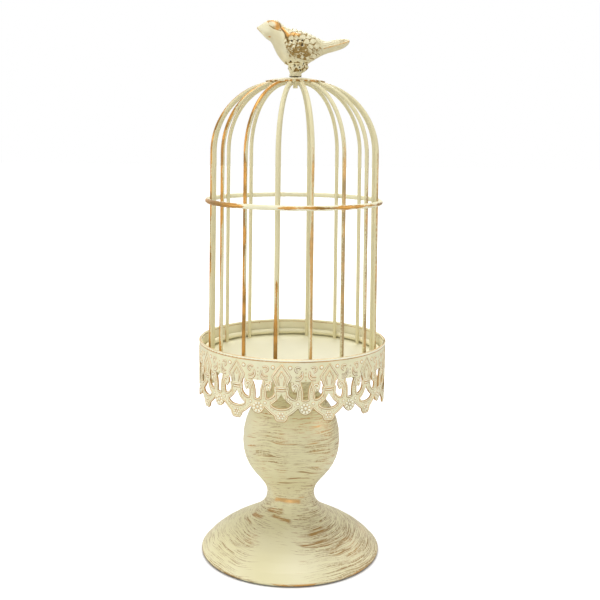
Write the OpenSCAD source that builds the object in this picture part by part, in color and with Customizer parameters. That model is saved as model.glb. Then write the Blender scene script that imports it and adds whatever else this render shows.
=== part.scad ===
// Birdcage centrepiece stand: a wire cage with a cast bird on top lifts off a round tray
// that has a pierced skirt and stands on a spun bulb and foot. Millimetres, +Z up,
// the origin is on the floor under the middle of the foot.

/* [Foot] */
// Outside radius of the foot at its hem
foot_r = 61.3; // [56:0.1:64]
// Height of the foot from its hem to the waist
foot_h = 40.2; // [34:0.1:48]
// Radius of the waist where the foot meets the bulb
waist_r = 16.1; // [13:0.1:20]
// Thickness of the spun sheet of foot and bulb
sheet_t = 1.2; // [0.8:0.1:2]
// Radius of the rounded hem under the edge of the foot
hem_r = 1.1; // [0.8:0.1:1.6]
// Thickness of the felt pad
pad_t = 2.0; // [1.4:0.1:3]
// How far the pad stands below the hem
pad_proud = 0.8; // [0.4:0.1:1.2]
// Gap between the pad and the wall of the foot
pad_gap = 0.3; // [0.2:0.1:1]

/* [Bulb and neck] */
// Radius of the bulb at its widest
belly_r = 32.9; // [26:0.1:38]
// Height from the waist to the widest place of the bulb
belly_h = 38; // [32:0.5:46]
// Height from the widest place to the neck
shoulder_h = 43; // [36:0.5:50]
// Radius of the neck under the tray
neck_r = 13; // [11:0.5:18]
// Height of the neck's flare up to the tray
neck_h = 16.4; // [12:0.1:22]
// Radius of the flare where it carries the tray
flare_r = 21; // [18:0.5:30]

/* [Tray] */
// Outside radius of the tray's wall
tray_r = 61.2; // [58:0.1:66]
// Height of the tray's wall above its underside
tray_h = 10; // [8:0.1:16]
// Thickness of the tray's wall
tray_wall_t = 0.8; // [0.6:0.1:1]
// Thickness of the tray's floor
tray_floor_t = 1.0; // [0.8:0.1:1.5]
// Radius of the bend between floor and wall
tray_bend_r = 1.4; // [1.2:0.1:2]

/* [Skirt band] */
// Thickness of the pierced band
band_t = 1.0; // [0.7:0.1:1.3]
// Length of the skirt from the underside of the tray to its lowest drop
skirt_h = 27.8; // [26:0.1:32]
// Number of times that the pattern repeats round the band
repeats = 13; // [12:1:13]
// Turn of the first repeat, away from the front
pattern_turn = -5.5; // [-14:0.5:14]
// Radius of the rolled bead on the band's upper edge
bead_r = 0.85; // [0.7:0.05:1.1]
// Width of the slit where the band stands off the tray
slit_w = 0.6; // [0.4:0.1:0.8]
// Angle that the slit runs round the rim
slit_angle = 15; // [8:1:24]

/* [Cage] */
// Number of upright wires
wire_count = 16; // [12:2:20]
// Radius of an upright wire
wire_r = 1.25; // [1:0.05:1.5]
// Turn of the cage about its own axis
cage_turn = 0.8; // [-5:0.1:5]
// Gap between the tray's wall and the bottom hoop
cage_gap = 0.57; // [0.4:0.01:1.5]
// How far the wires draw in from the tray up to the dome
wire_draw = 1.67; // [0:0.01:3]
// Height from the tray's floor to the start of the dome
spring_h = 133.4; // [110:0.1:150]
// How far from the cage's axis the centre of the dome's bend stands
bend_offset = 8.53; // [6:0.01:11]
// Radius at which the wires end under the crown
wire_end_r = 13; // [12:0.5:15]
// Radius of the middle hoop's wire
hoop_r = 1.25; // [1:0.05:1.6]
// Height of the middle hoop above the tray's floor
hoop_h = 102.3; // [60:0.1:125]
// Radius of the bottom hoop's wire
low_hoop_r = 1.75; // [1.2:0.05:2]
// Gap under the bottom hoop
low_hoop_gap = 0.8; // [0.5:0.1:3]
// How deep a weld sinks one wire into the next
weld = 0.12; // [0.05:0.01:0.2]

/* [Crown] */
// Radius of the domed crown disc
crown_r = 18.9; // [17:0.1:24]
// Thickness of the crown disc
crown_t = 0.9; // [0.7:0.1:1.5]
// How much the crown disc is domed
crown_rise = 2.2; // [1:0.1:4]

/* [Finial] */
// Length of the bird from beak to tail
bird_l = 59; // [52:1:64]
// Radius of the collar under the bird
collar_r = 4.15; // [3.8:0.05:5]
// Height of the collar
collar_h = 3.4; // [2.5:0.1:5]
// Gap in which the bird turns above and below the crown
turn_gap = 0.3; // [0.2:0.05:0.5]
// Radius of the stud under the bird
stud_r = 1.5; // [1.2:0.05:2]
// Running fit of the stud in the crown
stud_fit = 0.06; // [0.04:0.01:0.1]
// Length of the stud that shows under its nut
stud_tail = 3.2; // [1:0.1:5]
// Depth of the stud in the bird's collar and perch
stud_root = 5; // [3:0.1:6]
// Width of the stud's nut across its flats
nut_w = 5.5; // [5:0.1:6.5]
// Height of the stud's nut
nut_h = 1.8; // [1.4:0.1:2.6]
// Radius of the washer over the nut
washer_r = 3.5; // [3.3:0.1:5]
// Thickness of the washer
washer_t = 0.5; // [0.4:0.1:1]

/* [Tie rod] */
// Radius of the rod that holds tray, bulb and foot together
rod_r = 3; // [2.5:0.1:3.5]
// Gap round the rod in the end plates
rod_gap = 0.25; // [0.15:0.05:0.4]
// Thickness of the end plates of foot and bulb
plate_t = 1.6; // [1.2:0.1:2.5]
// Radius of the washer in the foot
tie_washer_r = 9; // [8:0.1:10]
// Thickness of the washer in the foot
tie_washer_t = 1.6; // [1.2:0.1:2.4]
// Width of the tie nut across its flats
tie_nut_w = 10; // [9:0.1:12]
// Height of the tie nut
tie_nut_h = 5; // [4:0.1:6]
// Length of the rod below its nut
rod_tail = 3; // [1:0.1:5]

/* [Hidden] */
$fa = 6;
$fs = 0.4;
steps = 5;
far = 400;

// Stack of heights, from the floor up
hem_z = pad_proud;
waist_z = hem_z + foot_h;
belly_z = waist_z + belly_h;
neck_z = belly_z + shoulder_h;
tray_z = neck_z + neck_h;
tray_floor_z = tray_z + tray_floor_t;
tray_top_z = tray_z + tray_h;
bead_z = tray_top_z + bead_r;
skirt_z = tray_z - skirt_h;

// The cage wire: a leaning leg, then an arc that the leg runs into without a kink.
// Its foot stands inside the bottom hoop, which clears the tray's wall.
wire_foot_r = tray_r - tray_wall_t - cage_gap - 2 * low_hoop_r + weld - wire_r;
spring_r = wire_foot_r - wire_draw;
lean = atan2(wire_draw, spring_h);
spring_z = tray_floor_z + spring_h;
dome_c_r = bend_offset;
dome_r = (spring_r - bend_offset) / cos(lean);
dome_c_z = spring_z - dome_r * sin(lean);
dome_end = acos((wire_end_r - dome_c_r) / dome_r);
leg_l = spring_h / cos(lean);

// The crown rests on the wires and sinks into them by a weld
crown_z = dome_c_z + sqrt(pow(dome_r + wire_r, 2) - pow(crown_r - dome_c_r, 2)) - weld;
crown_ball_r = (crown_r * crown_r + crown_rise * crown_rise) / (2 * crown_rise);
crown_c_z = crown_z + crown_rise - crown_ball_r;
crown_top_z = crown_z + crown_rise + crown_t;
bird_z = crown_top_z + turn_gap;
washer_top_z = crown_c_z + sqrt(pow(crown_ball_r, 2) - pow(washer_r, 2)) - turn_gap;
nut_top_z = washer_top_z - washer_t;
stud_end_z = nut_top_z - nut_h - stud_tail;

// The tie rod hangs from the tray into the foot
tie_washer_z = waist_z - plate_t - tie_washer_t;
tie_nut_z = tie_washer_z - tie_nut_h;

band_in_r = tray_r;
band_out_r = tray_r + band_t;
pitch_angle = 360 / repeats;
half_pitch = band_out_r * PI / repeats;
bead_c_r = band_out_r - bead_r + 0.3;

function wire_name(i) = str("cage_wire_", i < 10 ? "0" : "", i);
WIRES = [for (i = [1 : wire_count]) wire_name(i)];

// Points along a cubic curve from a to d, pulled towards b and c; d itself is left to what follows
function curve(a, b, c, d, n = steps) = [
    for (i = [0 : n - 1])
        let (t = i / n, s = 1 - t)
        s * s * s * a + 3 * s * s * t * b + 3 * s * t * t * c + t * t * t * d
];

// Points along an arc round c
function arc(c, r, from, to, n = steps) = [
    for (i = [0 : n])
        let (w = from + (to - from) * i / n)
        c + r * [cos(w), sin(w)]
];

// The same path moved sideways by d, to the left of its direction
function beside(path, d) = [
    for (i = [0 : len(path) - 1])
        let (
            a = path[max(i - 1, 0)],
            b = path[min(i + 1, len(path) - 1)],
            way = (b - a) / norm(b - a)
        )
        path[i] + d * [-way.y, way.x]
];

function backwards(path) = [for (i = [len(path) - 1 : -1 : 0]) path[i]];
function mirrored(path, axis_x) = [for (p = path) [2 * axis_x - p.x, p.y]];

module hex_nut(w, h, hole_r) {
    difference() {
        cylinder(r = w / 2 / cos(30), h = h, $fn = 6);
        translate([0, 0, -1]) cylinder(r = hole_r, h = h + 2);
    }
}

// ---- Foot ----

module base_pad() {
    color("dimgray")
        cylinder(r = foot_r - 2 * hem_r - pad_gap, h = pad_t);
}

// The foot swells from its hem, then sweeps up into the waist
function foot_line() = concat(
    curve([foot_r, hem_z + hem_r],
          [foot_r - 0.3 * (foot_r - waist_r), hem_z + 0.51 * foot_h],
          [waist_r, hem_z + 0.58 * foot_h],
          [waist_r, waist_z], 2 * steps),
    [[waist_r, waist_z]]
);

module foot_shell() {
    inside = beside(foot_line(), sheet_t);
    last = len(inside) - 1;
    // The wall's inside, as far up as the underside of the end plate
    wall = [for (p = inside) if (p.y < waist_z - plate_t) p];
    color("lightgoldenrodyellow")
        rotate_extrude() {
            polygon(concat(
                foot_line(),
                [[rod_r + rod_gap, waist_z], [rod_r + rod_gap, waist_z - plate_t]],
                [[wall[len(wall) - 1].x, waist_z - plate_t]],
                backwards(wall)));
            translate([foot_r - hem_r, hem_z + hem_r]) circle(r = hem_r);
        }
}

// ---- Bulb and neck ----

// From the waist over the belly to the neck, then out again under the tray
function bulb_line() = concat(
    curve([waist_r, waist_z], [waist_r, waist_z + 0.34 * belly_h],
          [belly_r, waist_z + 0.41 * belly_h], [belly_r, belly_z], 2 * steps),
    curve([belly_r, belly_z], [belly_r, belly_z + 0.7 * shoulder_h],
          [neck_r, belly_z + 0.72 * shoulder_h], [neck_r, neck_z], 2 * steps),
    curve([neck_r, neck_z], [neck_r, neck_z + 0.6 * neck_h],
          [flare_r, tray_z - 0.3 * neck_h], [flare_r, tray_z]),
    [[flare_r, tray_z]]
);

module bulb_shell() {
    wall = [for (p = beside(bulb_line(), sheet_t))
        if (p.y > waist_z + plate_t && p.y < tray_z - plate_t) p];
    hole = rod_r + rod_gap;
    color("lightgoldenrodyellow")
        rotate_extrude()
            polygon(concat(
                bulb_line(),
                [[hole, tray_z], [hole, tray_z - plate_t]],
                [[wall[len(wall) - 1].x, tray_z - plate_t]],
                backwards(wall),
                [[wall[0].x, waist_z + plate_t]],
                [[hole, waist_z + plate_t], [hole, waist_z]]));
}

module tie_rod() {
    color("silver")
        translate([0, 0, tie_nut_z - rod_tail])
            cylinder(r = rod_r, h = tray_z - tie_nut_z + rod_tail);
}

module tie_washer() {
    color("silver")
        translate([0, 0, tie_washer_z])
            difference() {
                cylinder(r = tie_washer_r, h = tie_washer_t);
                translate([0, 0, -1]) cylinder(r = rod_r + rod_gap, h = tie_washer_t + 2);
            }
}

module tie_nut() {
    color("silver")
        translate([0, 0, tie_nut_z]) hex_nut(tie_nut_w, tie_nut_h, rod_r);
}

// ---- Tray ----

module tray_pan() {
    bend = [tray_r - tray_bend_r, tray_z + tray_bend_r];
    color("beige")
        rotate_extrude()
            polygon(concat(
                [[0, tray_floor_z], [0, tray_z]],
                arc(bend, tray_bend_r, -90, 0),
                [[tray_r, tray_top_z], [tray_r - tray_wall_t, tray_top_z]],
                [[tray_r - tray_wall_t, tray_floor_z]]));
}

// ---- Skirt band ----
// One repeat is drawn flat: x runs round the band from the middle of a spade leaf,
// y runs down from the underside of the tray. The rosette sits half a repeat away.

// Height of the upper edge of the openings and of the lowest drop
open_top = -2.2;
drop_end = -skirt_h;
// Half width of the flat end of the drop
drop_w = 1.2;
// Turn from the middle of a spade leaf to the shaft of the hook beside it
seam_turn = 0.375 * pitch_angle;

// The arched opening under the collar
function arch_hole() =
    let (side = concat(
        curve([0, -9.8], [1.0, -12.0], [2.6, -15.0], [6.0, -16.9]),
        curve([6.0, -16.9], [5.6, -18.3], [3.0, -19.5], [0, -19.5])))
    concat(side, [[0, -19.5]], backwards([for (p = mirrored(side, 0)) if (p.x < 0) p]));

// The opening between the spade leaf, its arm and the curled hook
function hook_hole() = concat(
    curve([6.7, open_top], [4.6, -5.8], [6.4, -8.8], [9.4, -8.6]),
    curve([9.4, -8.6], [9.5, -10.2], [9.3, -11.8], [8.8, -13.3], 3),
    curve([8.8, -13.3], [6.0, -13.0], [4.1, -10.6], [3.9, -7.4]),
    curve([3.9, -7.4], [3.7, -5.4], [4.4, -3.4], [4.9, open_top], 3),
    [[4.9, open_top]]
);

// The opening over the rosette, between the backs of two hooks
function gate_hole() =
    let (side = concat(
        curve([11.2, open_top], [13.2, -4.6], [13.9, -9.9], [13.4, -13.6]),
        [[13.4, -13.6], [half_pitch, -13.9]]))
    concat(side, backwards([for (p = mirrored(side, half_pitch)) if (p.x > half_pitch) p]));

// What is cut away between one drop and the next, below the arms and the rosette
function lower_edge() =
    let (side = concat(
        curve([drop_w, drop_end - 1], [3.2, drop_end + 0.3], [4.2, drop_end + 1.8], [4.4, -24.2], 4),
        curve([4.4, -24.2], [6.0, -23.4], [9.0, -20.9], [10.5, -19.1], 3),
        curve([10.5, -19.1], [11.2, -21.6], [12.8, -23.3], [half_pitch, -23.3])))
    concat(side, [[half_pitch, -23.3]],
           backwards([for (p = mirrored(side, half_pitch)) if (p.x > half_pitch) p]));

// Drives a flat outline out through the band, with its x = 0 at the given turn from the front
module punched(turn) {
    rotate([0, 0, turn])
        translate([0, -band_in_r + 4, tray_z])
            rotate([90, 0, 0])
                linear_extrude(height = band_t + 6) children();
}

module repeat_holes(turn) {
    half = pitch_angle / 2;
    punched(turn) polygon(arch_hole());
    punched(turn) polygon(hook_hole());
    punched(turn) polygon(mirrored(hook_hole(), 0));
    punched(turn + half) polygon([for (p = gate_hole()) p - [half_pitch, 0]]);
    punched(turn + half) polygon([for (p = lower_edge()) p - [half_pitch, 0]]);
}

module band_blank() {
    rotate_extrude() {
        translate([band_in_r, skirt_z]) square([band_t, bead_z - skirt_z]);
        translate([bead_c_r, bead_z]) circle(r = bead_r);
    }
}

module skirt_band() {
    color("palegoldenrod")
        difference() {
            // The blank's own seam is turned on to the solid shaft of a hook
            rotate([0, 0, pattern_turn - 90 + seam_turn]) band_blank();
            for (i = [0 : repeats - 1]) repeat_holes(pattern_turn + i * pitch_angle);
            // The slit at the side where the band stands off the tray
            rotate([0, 0, -10 - slit_angle / 2])
                rotate_extrude(angle = slit_angle)
                    translate([band_in_r, tray_top_z - 1]) square([slit_w, 2 * bead_r + 2]);
        }
}

// ---- Cage ----

module cage_wire(i) {
    color("wheat")
        rotate([0, 0, cage_turn - 90 + (i - 0.5) * 360 / wire_count])
            difference() {
                translate([dome_c_r, 0, dome_c_z])
                    rotate([90, -lean, 0]) {
                        rotate_extrude(angle = dome_end - lean)
                            translate([dome_r, 0]) circle(r = wire_r);
                        translate([dome_r, 0, 0])
                            rotate([90, 0, 0]) cylinder(r = wire_r, h = leg_l + wire_r);
                    }
                // The foot is cut flat to stand on the tray
                translate([wire_foot_r, 0, tray_floor_z - 5]) cube([10, 10, 10], center = true);
            }
}

// Radius of the wires' centres at a height above the tray's floor
function leg_r(h) = wire_foot_r - h * tan(lean);

module hoop(r, h) {
    rotate_extrude()
        translate([leg_r(h) + wire_r + r - weld, tray_floor_z + h]) circle(r = r);
}

module middle_hoop() {
    color("wheat") hoop(hoop_r, hoop_h);
}

module bottom_hoop() {
    color("wheat") hoop(low_hoop_r, low_hoop_gap + low_hoop_r);
}

module crown_disc() {
    edge = asin(crown_r / crown_ball_r);
    centre = [0, crown_c_z];
    color("wheat")
        difference() {
            rotate_extrude()
                polygon(concat(
                    arc(centre, crown_ball_r, 90, 90 - edge),
                    arc(centre, crown_ball_r + crown_t, 90 - edge, 90)));
            translate([0, 0, crown_z]) cylinder(r = stud_r + stud_fit, h = far);
        }
}

// ---- Finial ----

module finial_stud() {
    color("silver")
        translate([0, 0, stud_end_z])
            cylinder(r = stud_r, h = bird_z + stud_root - stud_end_z);
}

module finial_washer() {
    color("silver")
        translate([0, 0, nut_top_z])
            difference() {
                cylinder(r = washer_r, h = washer_t);
                translate([0, 0, -1]) cylinder(r = stud_r, h = washer_t + 2);
            }
}

module finial_nut() {
    color("silver")
        translate([0, 0, nut_top_z - nut_h]) hex_nut(nut_w, nut_h, stud_r);
}

// The bird looks along -X. Each station down its body holds the place along the bird,
// the top and the bottom of its outline, and its half width.
BIRD = [
    [-24.9, 30.4, 29.6, 0.5],
    [-22.0, 32.2, 26.6, 2.5],
    [-19.0, 34.4, 23.6, 4.9],
    [-15.5, 35.9, 21.0, 6.8],
    [-12.0, 35.4, 14.2, 8.0],
    [-8.0, 31.9, 9.2, 9.1],
    [-3.0, 30.0, 6.6, 10.0],
    [3.0, 28.8, 6.2, 10.2],
    [9.0, 26.5, 9.0, 8.7],
    [14.5, 23.9, 12.3, 6.2],
    [19.5, 22.6, 14.6, 4.6],
    [25.0, 23.7, 16.2, 4.3],
    [30.0, 24.2, 18.0, 4.6],
    [33.2, 23.8, 20.4, 3.9],
    [34.1, 22.9, 22.0, 2.6]
];
bird_k = bird_l / 59;
// How much wider the body is low down than high up
egg = 0.14;
// Middle, half length, half height and fall of the folded wing
wing_x = 4.6;
wing_z = 18.6;
wing_a = 11.6;
wing_b = 7.4;
wing_fall = 17;
// Length of a covert feather and the spacing of their rows
feather_l = 3;
feather_row = 2.5;
// Place of the eye
eye_x = -14;
eye_z = 30.6;
// How deep the round shoulder of the wing sinks into the body
shoulder_sink = 1.4;

// A smooth value between stations i and i + 1
function between(table, i, t, column) =
    let (
        a = table[max(i - 1, 0)][column],
        b = table[i][column],
        c = table[i + 1][column],
        d = table[min(i + 2, len(table) - 1)][column]
    )
    b + 0.5 * t * (c - a + t * (2 * a - 5 * b + 4 * c - d + t * (3 * (b - c) + d - a)));

// Half width of the body at a place along it and at a height
function flank(x, z) =
    let (
        top = lookup(x, [for (s = BIRD) [s[0], s[1]]]),
        low = lookup(x, [for (s = BIRD) [s[0], s[2]]]),
        wide = lookup(x, [for (s = BIRD) [s[0], s[3]]]),
        up = max(-0.9, min(0.9, (2 * z - top - low) / (top - low)))
    )
    wide * sqrt(1 - up * up) * (1 - egg * up);

// A closed skin through egg-shaped rings, one ring for each fraction of the table
module loft(table, per_gap, around) {
    rings = (len(table) - 1) * per_gap;
    points = [
        for (r = [0 : rings], s = [0 : around - 1])
            let (
                i = min(floor(r / per_gap), len(table) - 2),
                t = r / per_gap - i,
                x = between(table, i, t, 0),
                top = between(table, i, t, 1),
                low = between(table, i, t, 2),
                wide = between(table, i, t, 3),
                w = 360 * s / around
            )
            [x, wide * sin(w) * (1 - egg * cos(w)), (top + low) / 2 + (top - low) / 2 * cos(w)]
    ];
    sides = [
        for (r = [0 : rings - 1], s = [0 : around - 1])
            [r * around + s, r * around + (s + 1) % around,
             (r + 1) * around + (s + 1) % around, (r + 1) * around + s]
    ];
    first = [for (s = [around - 1 : -1 : 0]) s];
    last = [for (s = [0 : around - 1]) rings * around + s];
    polyhedron(points, concat(sides, [first, last]));
}

// One covert feather on the flank. Its round tip stands off the feathers behind it.
module feather(side, x, z) {
    tip_x = x + 0.55 * feather_l;
    tip_z = z - 0.2 * feather_l;
    hull() {
        translate([x, side * (flank(x, z) - 0.4), z]) sphere(r = 0.46 * feather_l, $fn = 8);
        translate([tip_x, side * (flank(tip_x, tip_z) + 0.1), tip_z])
            sphere(r = 0.32 * feather_l, $fn = 8);
    }
}

module wing(side) {
    // The bare shoulder, high on the wing's front edge
    hull() {
        translate([-3.8, side * (flank(-3.8, 24.2) - shoulder_sink), 24.2]) sphere(r = 2.3, $fn = 16);
        translate([2.2, side * (flank(2.2, 24.8) - shoulder_sink), 24.8]) sphere(r = 2.4, $fn = 16);
    }
    // The coverts fill the wing's oval in rows set like bricks
    rows = floor(wing_b / feather_row);
    for (row = [-rows : rows], k = [-5 : 4]) {
        a = (k + 0.5 * abs(row % 2)) * feather_l * 0.9;
        b = row * feather_row;
        x = wing_x + a * cos(wing_fall) + b * sin(wing_fall);
        z = wing_z - a * sin(wing_fall) + b * cos(wing_fall);
        if (pow(a / wing_a, 2) + pow(b / wing_b, 2) < 0.93) feather(side, x, z);
    }
}

module eye(side) {
    translate([eye_x, side * flank(eye_x, eye_z), eye_z])
        scale([1, 0.6, 1]) sphere(r = 0.9, $fn = 12);
}

// A stump with leaves that the bird sits on, over the turned collar
module perch() {
    hull() {
        translate([0, 0, (collar_h - 1) / bird_k]) cylinder(r = collar_r / bird_k - 0.3, h = 0.5, $fn = 24);
        translate([1.2, 0, 6.2]) scale([6.2, 5.2, 2.4]) sphere(r = 1, $fn = 20);
    }
    for (k = [0 : 5])
        rotate([0, 0, 60 * k + 18])
            hull() {
                translate([4.2, 0, 7.2]) sphere(r = 1.5, $fn = 10);
                translate([6.0, 0, 4.6]) sphere(r = 0.8, $fn = 8);
            }
}

module bird_finial() {
    color("antiquewhite")
        translate([0, 0, bird_z]) {
            cylinder(r = collar_r, h = collar_h, $fn = 48);
            scale(bird_k)
                difference() {
                    union() {
                        perch();
                        loft(BIRD, 2, 20);
                        wing(1);
                        wing(-1);
                        eye(1);
                        eye(-1);
                    }
                    // The line between the two halves of the beak
                    translate([-26, -5, 30.1]) rotate([0, 4, 0]) cube([8, 10, 0.35]);
                }
        }
}

base_pad();
foot_shell();
bulb_shell();
tray_pan();
skirt_band();
tie_rod();
tie_washer();
tie_nut();
bottom_hoop();
middle_hoop();
crown_disc();
bird_finial();
finial_stud();
finial_washer();
finial_nut();
for (i = [1 : wire_count])
    cage_wire(i);
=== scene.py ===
import math
import bpy
import numpy as np
from mathutils import Euler, Matrix, Vector, noise


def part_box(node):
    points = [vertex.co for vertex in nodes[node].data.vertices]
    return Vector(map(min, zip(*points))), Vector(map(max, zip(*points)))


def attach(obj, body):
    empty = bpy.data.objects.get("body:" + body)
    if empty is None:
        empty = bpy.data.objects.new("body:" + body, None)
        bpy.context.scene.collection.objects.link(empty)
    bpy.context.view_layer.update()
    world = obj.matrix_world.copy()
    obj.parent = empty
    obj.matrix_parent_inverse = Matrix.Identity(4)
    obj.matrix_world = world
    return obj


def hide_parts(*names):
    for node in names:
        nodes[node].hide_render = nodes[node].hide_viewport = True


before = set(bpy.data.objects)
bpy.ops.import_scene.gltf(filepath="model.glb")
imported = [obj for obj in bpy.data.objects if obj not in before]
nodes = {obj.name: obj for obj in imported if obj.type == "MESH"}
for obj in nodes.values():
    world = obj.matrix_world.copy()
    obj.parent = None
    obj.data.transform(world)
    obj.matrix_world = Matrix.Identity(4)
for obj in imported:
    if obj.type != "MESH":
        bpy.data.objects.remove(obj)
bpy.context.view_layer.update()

scene = bpy.context.scene
mm = 0.001


# ---- Camera ------------------------------------------------------------------------------------
# A short telephoto lens a little above the tray, at arm's length from the front of the stand. It
# looks slightly down and is rolled a touch, so that the stand leans a little to the right.
camera_place = Vector((4.76, -623.0, 290.95)) * mm
look_down = 0.183
camera_roll = 0.013
# The focal length, counted in sides of the square frame
lens_reach = 949.7 / 600.0
nearest_seen = 0.05

camera = bpy.data.objects.new("camera", bpy.data.cameras.new("camera"))
scene.collection.objects.link(camera)
camera.data.sensor_width = 36.0
camera.data.lens = lens_reach * camera.data.sensor_width
camera.data.clip_start = nearest_seen
camera.matrix_world = (Matrix.Translation(camera_place)
                       @ Euler((math.pi / 2 - look_down, 0, 0)).to_matrix().to_4x4()
                       @ Matrix.Rotation(camera_roll, 4, "Z"))
scene.camera = camera


# ---- Studio ------------------------------------------------------------------------------------
# A white light tent: light comes from every side, with one big soft box above the front and weaker
# ones at the sides and the back. The floor is white paper that keeps the stand's own soft shadow.
white = (1, 1, 1, 1)
tent_light = 0.241
tent_seen = 1.0
# Name, place in m and power in W of each soft box
soft_boxes = (
    ("top_box", (-0.06, -0.50, 2.40), 29.0),
    ("front_box", (-0.25, -2.40, 0.30), 15.0),
    ("left_box", (-2.00, -0.50, 0.60), 12.2),
    ("right_box", (2.00, -0.50, 0.60), 10.0),
    ("back_box", (0.00, 1.50, 1.80), 19.4),
)
soft_box_side = 0.9
aimed_at = Vector((0, 0, 0.17))
floor_side = 12.0
paper_white = (0.72, 0.72, 0.72, 1)
# The paper looks lighter away from the stand, and its glow is left off right under the hem as painted
# shade
fade_from, fade_to = 0.3, 1.2
near_lift, far_lift = 0.60, 1.0
hem_shade_from, hem_shade_to = 0.060, 0.0632
scene.view_settings.view_transform = "Standard"


class Sock:
    """An output of a shader's node. Sums and products of outputs add Math nodes."""

    def __init__(self, tree, socket=None):
        self.tree = tree
        self.socket = socket

    def node(self, kind, settings=None, inputs=None, out=0):
        """Adds a node of that kind, with its settings made first, and returns one output."""
        made = self.tree.nodes.new("ShaderNode" + kind)
        for name, value in (settings or {}).items():
            setattr(made, name, value)
        for name, value in (inputs or {}).items():
            if isinstance(value, Sock):
                self.tree.links.new(value.socket, made.inputs[name])
            else:
                made.inputs[name].default_value = value
        return Sock(self.tree, made.outputs[out]) if len(made.outputs) else None

    def math(self, operation, *others):
        values = dict(enumerate((self,) + others))
        return self.node("Math", {"operation": operation}, values)

    def __add__(self, other):
        return self.math("ADD", other)

    __radd__ = __add__

    def __mul__(self, other):
        return self.math("MULTIPLY", other)

    __rmul__ = __mul__

    def __sub__(self, other):
        return self.math("SUBTRACT", other)

    def __rsub__(self, other):
        return self.node("Math", {"operation": "SUBTRACT"}, {0: other, 1: self})

    def __truediv__(self, other):
        return self.math("DIVIDE", other)

    def __abs__(self):
        return self.math("ABSOLUTE")

    def most(self, *others):
        """The largest of this and the others."""
        made = self
        for other in others:
            made = made.math("MAXIMUM", other)
        return made

    def rise(self, low, high):
        """0 below low, 1 above high and a smooth climb between them."""
        return self.node("MapRange", {"interpolation_type": "SMOOTHSTEP"},
                         {"Value": self, "From Min": low, "From Max": high})

    def joined(self, y, z):
        """A vector with this output as its x."""
        return self.node("CombineXYZ", None, {0: self, 1: y, 2: z})

    def split(self):
        """The x, y and z of this vector."""
        return [self.node("SeparateXYZ", None, {"Vector": self}, axis) for axis in "XYZ"]

    def noise(self, scale, detail=2.0, rough=0.5):
        """Cloudy noise at this vector."""
        return self.node("TexNoise", None,
                         {"Vector": self, "Scale": scale, "Detail": detail, "Roughness": rough})

    def tint(self, low, high):
        """The colour low where this is 0, high where it is 1."""
        return self.node("Mix", {"data_type": "RGBA"}, {0: self, 6: low, 7: high}, 2)

    def into(self, shader, name):
        """Feeds a socket of that shader."""
        self.tree.links.new(self.socket, shader.inputs[name])

    def bump(self, shader, strength, depth):
        """Raises a shader's surface where this is high."""
        inputs = {"Strength": strength, "Distance": depth, "Height": self}
        self.node("Bump", None, inputs, "Normal").into(shader, "Normal")


def emptied(owner):
    """The Sock that a world's or a material's nodes start from, with none of them left."""
    owner.use_nodes = True
    owner.node_tree.nodes.clear()
    return Sock(owner.node_tree)


def rays(start, kind):
    """1 for light rays of that kind, 0 for others."""
    return start.node("LightPath", None, None, "Is " + kind + " Ray")


for box_name, place, power in soft_boxes:
    lamp = bpy.data.objects.new(box_name, bpy.data.lights.new(box_name, "AREA"))
    scene.collection.objects.link(lamp)
    lamp.data.shape = "SQUARE"
    lamp.data.size = soft_box_side
    lamp.data.energy = power
    lamp.location = place
    lamp.rotation_euler = (aimed_at - Vector(place)).to_track_quat("-Z", "Y").to_euler()

scene.world = bpy.data.worlds.new("tent")
start = emptied(scene.world)
looked_at = rays(start, "Camera").most(rays(start, "Glossy"), rays(start, "Transmission"))
dim = start.node("Background", None, {"Color": white, "Strength": tent_light})
bright = start.node("Background", None, {"Color": white, "Strength": tent_seen})
tent = start.node("MixShader", None, {0: looked_at, 1: dim, 2: bright})
start.node("OutputWorld", None, {"Surface": tent})

floor_mesh = bpy.data.meshes.new("floor")
half = floor_side / 2
floor_mesh.from_pydata([(-half, -half, 0), (half, -half, 0), (half, half, 0), (-half, half, 0)],
                       [], [(0, 1, 2, 3)])
floor = bpy.data.objects.new("floor", floor_mesh)
scene.collection.objects.link(floor)
paper = bpy.data.materials.new("white_paper")
start = emptied(paper)
place = start.node("TexCoord", None, None, "Object")
far = start.node("VectorMath", {"operation": "LENGTH"}, {0: place}, "Value")
fade = start.node("MapRange", None, {"Value": far, "From Min": fade_from, "From Max": fade_to,
                                     "To Min": near_lift, "To Max": far_lift})
# Painted shade: no glow under the hem, so the floor shows dark there
past_hem_shade = start.node("MapRange", None, {"Value": far, "From Min": hem_shade_from,
                                         "From Max": hem_shade_to})
matt = start.node("BsdfDiffuse", None, {"Color": paper_white})
glow = start.node("Emission", None, {"Strength": rays(start, "Camera") * fade * past_hem_shade})
lit_paper = start.node("AddShader", None, {0: matt, 1: glow})
start.node("OutputMaterial", None, {"Surface": lit_paper})
floor_mesh.materials.append(paper)


# ---- Pedestal: foot and bulb -------------------------------------------------------------------
# Spun steel, sprayed with ivory satin paint and then dry-brushed by hand with a brown and a gold
# glaze while it turned, so that the strokes run round the axis. The hem is rubbed most.
def chart(red, green, blue):
    """A paint's colour from the 0 to 255 of a paint chart."""
    def linear(level):
        share = level / 255
        return share / 12.92 if share <= 0.04045 else ((share + 0.055) / 1.055) ** 2.4
    return (linear(red), linear(green), linear(blue), 1)


ivory = chart(229, 221, 177)
pale_ivory = chart(236, 229, 193)
brown_glaze = chart(152, 112, 48)
gold_glaze = chart(204, 148, 70)
satin_gloss = 0.28


def new_finish(name):
    """An empty material, the Sock that its nodes start from, and its shader."""
    made = bpy.data.materials.new(name)
    made.use_nodes = True
    return made, Sock(made.node_tree), made.node_tree.nodes["Principled BSDF"]


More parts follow.
